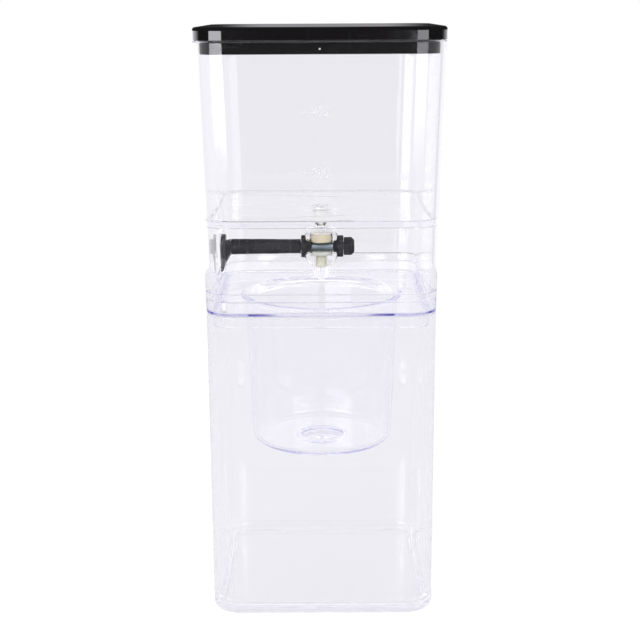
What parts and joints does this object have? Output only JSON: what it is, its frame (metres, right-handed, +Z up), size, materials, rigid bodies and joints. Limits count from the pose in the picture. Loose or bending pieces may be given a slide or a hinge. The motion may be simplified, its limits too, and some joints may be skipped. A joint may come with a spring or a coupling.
{
  "type": "cold brew coffee maker",
  "caption": "Square stacked cold drip coffee maker: clear carafe, clear frame with a round filter cup, clear water tank with a lever drip valve under its floor, and a black lid.",
  "frame": {"origin": "centre of the carafe's base, on the surface that it stands on", "axes": "+Z up; the viewer is on the -Y side; the lever is at the -X side and the spindle runs along X"},
  "size_m": [0.1, 0.1, 0.2437],
  "materials": {
    "clear_plastic": "clear moulded plastic, polished, faint violet tint at the edges",
    "gloss_black": "gloss black moulded plastic",
    "matt_black": "fine textured matt black plastic",
    "steel": "turned stainless rod",
    "cream_seal": "cream silicone",
    "frosted_seal": "milky translucent silicone",
    "black_rubber": "black sealing ring"
  },
  "bodies": {
    "carafe": {"carafe": "clear_plastic"},
    "cup": {"filter_cup": "clear_plastic"},
    "tank": {"water_tank": "clear_plastic", "valve_body": "clear_plastic", "neck_ring": "black_rubber", "upper_seal": "cream_seal", "lower_seal": "frosted_seal", "outlet_sleeve": "cream_seal", "packing_nut": "matt_black", "gland_nut": "matt_black", "spindle_ring": "black_rubber"},
    "spindle": {"spindle_core": "steel", "stem": "matt_black", "lever": "matt_black", "end_cap": "matt_black"},
    "lid": {"lid_cap": "gloss_black", "lid_plug": "gloss_black"}
  },
  "joints": [
    {"name": "cup_lift", "type": "slide", "parent": "carafe", "child": "cup", "axis": [0, 0, 1], "range_m": [0, 0.075]},
    {"name": "tank_lift", "type": "slide", "parent": "cup", "child": "tank", "axis": [0, 0, 1], "range_m": [0, 0.02]},
    {"name": "lid_lift", "type": "slide", "parent": "tank", "child": "lid", "axis": [0, 0, 1], "range_m": [0, 0.02]},
    {"name": "valve_turn", "type": "hinge", "parent": "tank", "child": "spindle", "pos_m": [0, 0, 0.15], "axis": [1, 0, 0], "range_deg": [-90, 90]}
  ]
}
